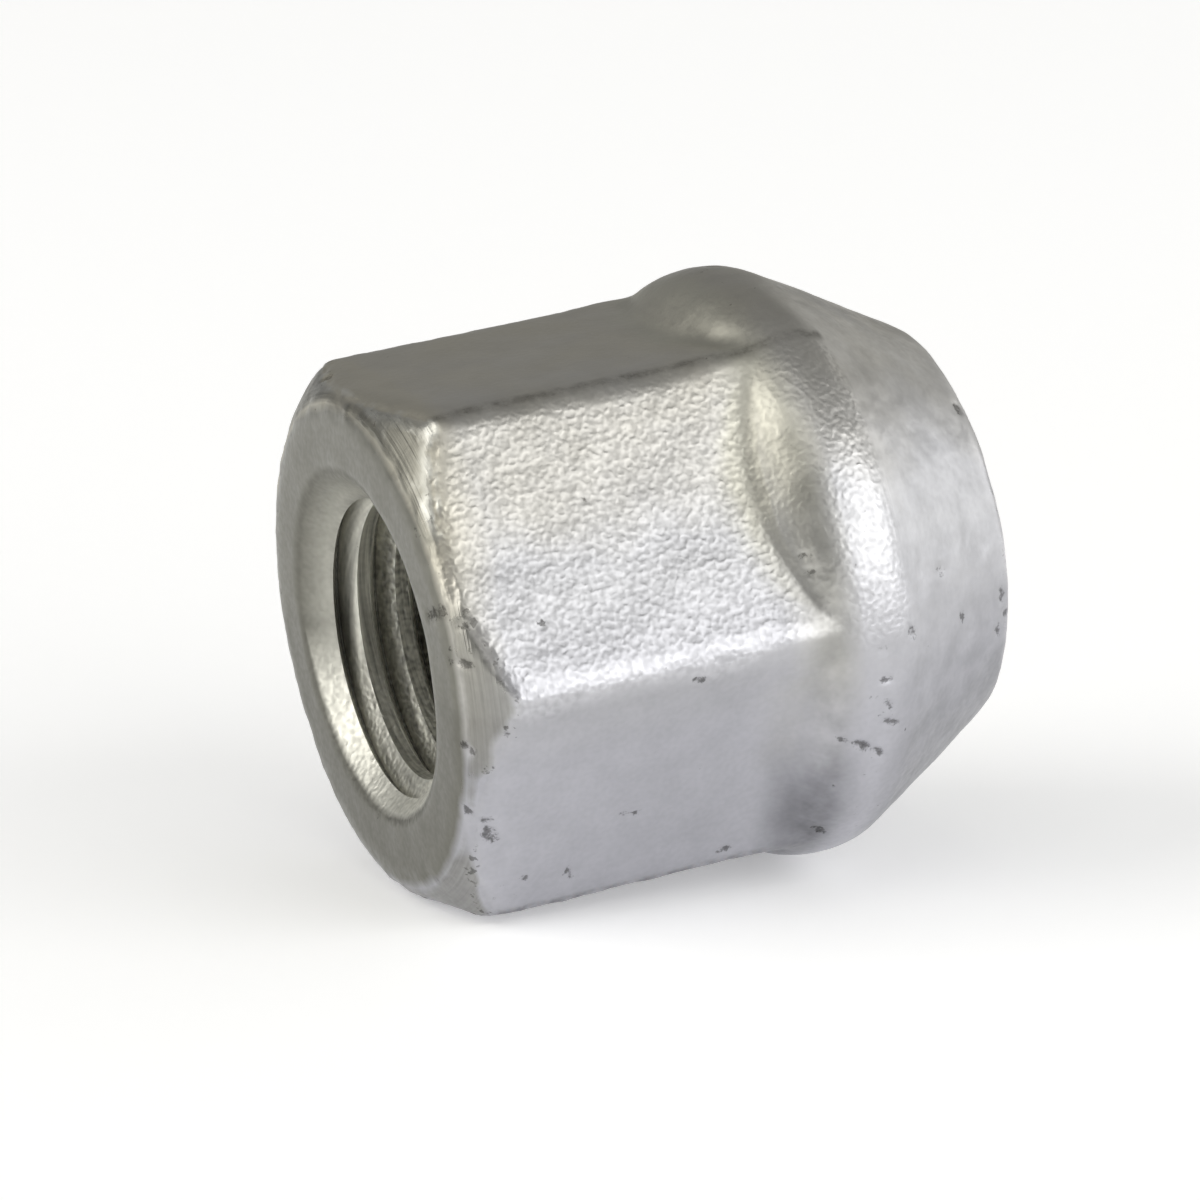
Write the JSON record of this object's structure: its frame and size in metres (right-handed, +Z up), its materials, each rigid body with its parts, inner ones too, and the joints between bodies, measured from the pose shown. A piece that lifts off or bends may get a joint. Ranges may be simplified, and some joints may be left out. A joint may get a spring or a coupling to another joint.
{
  "type": "lug nut",
  "caption": "Steel wheel nut with a wrench hexagon, a rounded collar, a conical seat and a threaded hole right through, lying on its side at rest.",
  "frame": {"origin": "on the floor under the middle of the nut's bounding box, as the nut lies at rest", "axes": "+X along the floor from the hexagon end to the seat end, in the upright plane that holds the bore axis, which rises 6.21 degrees towards the seat; +Z up"},
  "size_m": [0.024, 0.0222, 0.0221],
  "materials": {
    "plated_steel": "bright zinc plate over cold-forged steel, satin with a fine mottle"
  },
  "bodies": {
    "root": {"lug_nut": "plated_steel"}
  },
  "joints": []
}
